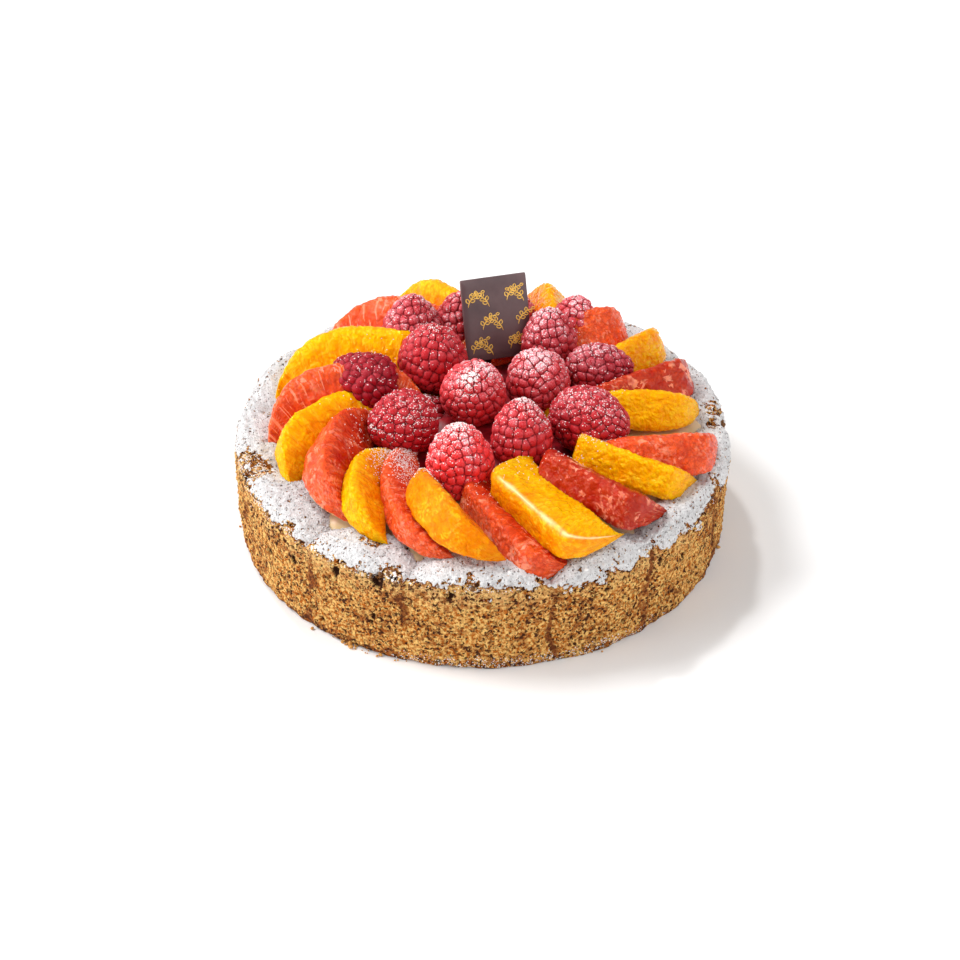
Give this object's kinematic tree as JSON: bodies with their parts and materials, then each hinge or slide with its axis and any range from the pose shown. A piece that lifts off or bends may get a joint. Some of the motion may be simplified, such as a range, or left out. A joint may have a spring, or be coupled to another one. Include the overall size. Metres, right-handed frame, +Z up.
{
  "type": "citrus and raspberry tart",
  "caption": "Round tart: almond biscuit case with a sugared rim, cream, a swirl of orange and grapefruit slices, a heap of frosted raspberries and a chocolate plaque.",
  "frame": {"origin": "middle of the flat base", "axes": "+Z up out of the fruit; the plaque's face looks towards -Y and up"},
  "size_m": [0.1797, 0.1796, 0.0781],
  "materials": {
    "biscuit": "baked almond biscuit, porous golden crumb, dusted with icing sugar on the rim",
    "cream": "soft set cream, stained red in the middle by the berries",
    "orange": "peeled orange flesh under a clear glaze",
    "grapefruit": "peeled pink grapefruit flesh under a clear glaze",
    "raspberry": "frosted raspberry skin, dark red in the creases",
    "chocolate": "dark tempered chocolate, satin face",
    "icing_sugar": "dry white powder in small grains",
    "gold_print": "gold cocoa butter transfer"
  },
  "bodies": {
    "root": {"crust": "biscuit", "cream_filling": "cream", "chocolate_plaque": "chocolate", "orange_1": "orange", "orange_2": "orange", "orange_3": "orange", "orange_4": "orange", "orange_5": "orange", "orange_6": "orange", "orange_7": "orange", "orange_8": "orange", "orange_9": "orange", "orange_10": "orange", "grapefruit_1": "grapefruit", "grapefruit_2": "grapefruit", "grapefruit_3": "grapefruit", "grapefruit_4": "grapefruit", "grapefruit_5": "grapefruit", "grapefruit_6": "grapefruit", "grapefruit_7": "grapefruit", "grapefruit_8": "grapefruit", "grapefruit_9": "grapefruit", "grapefruit_10": "grapefruit", "raspberry_1": "raspberry", "raspberry_2": "raspberry", "raspberry_3": "raspberry", "raspberry_4": "raspberry", "raspberry_5": "raspberry", "raspberry_6": "raspberry", "raspberry_7": "raspberry", "raspberry_8": "raspberry", "raspberry_9": "raspberry", "raspberry_10": "raspberry", "raspberry_11": "raspberry", "raspberry_12": "raspberry", "raspberry_13": "raspberry", "raspberry_14": "raspberry", "raspberry_15": "raspberry"}
  },
  "joints": []
}
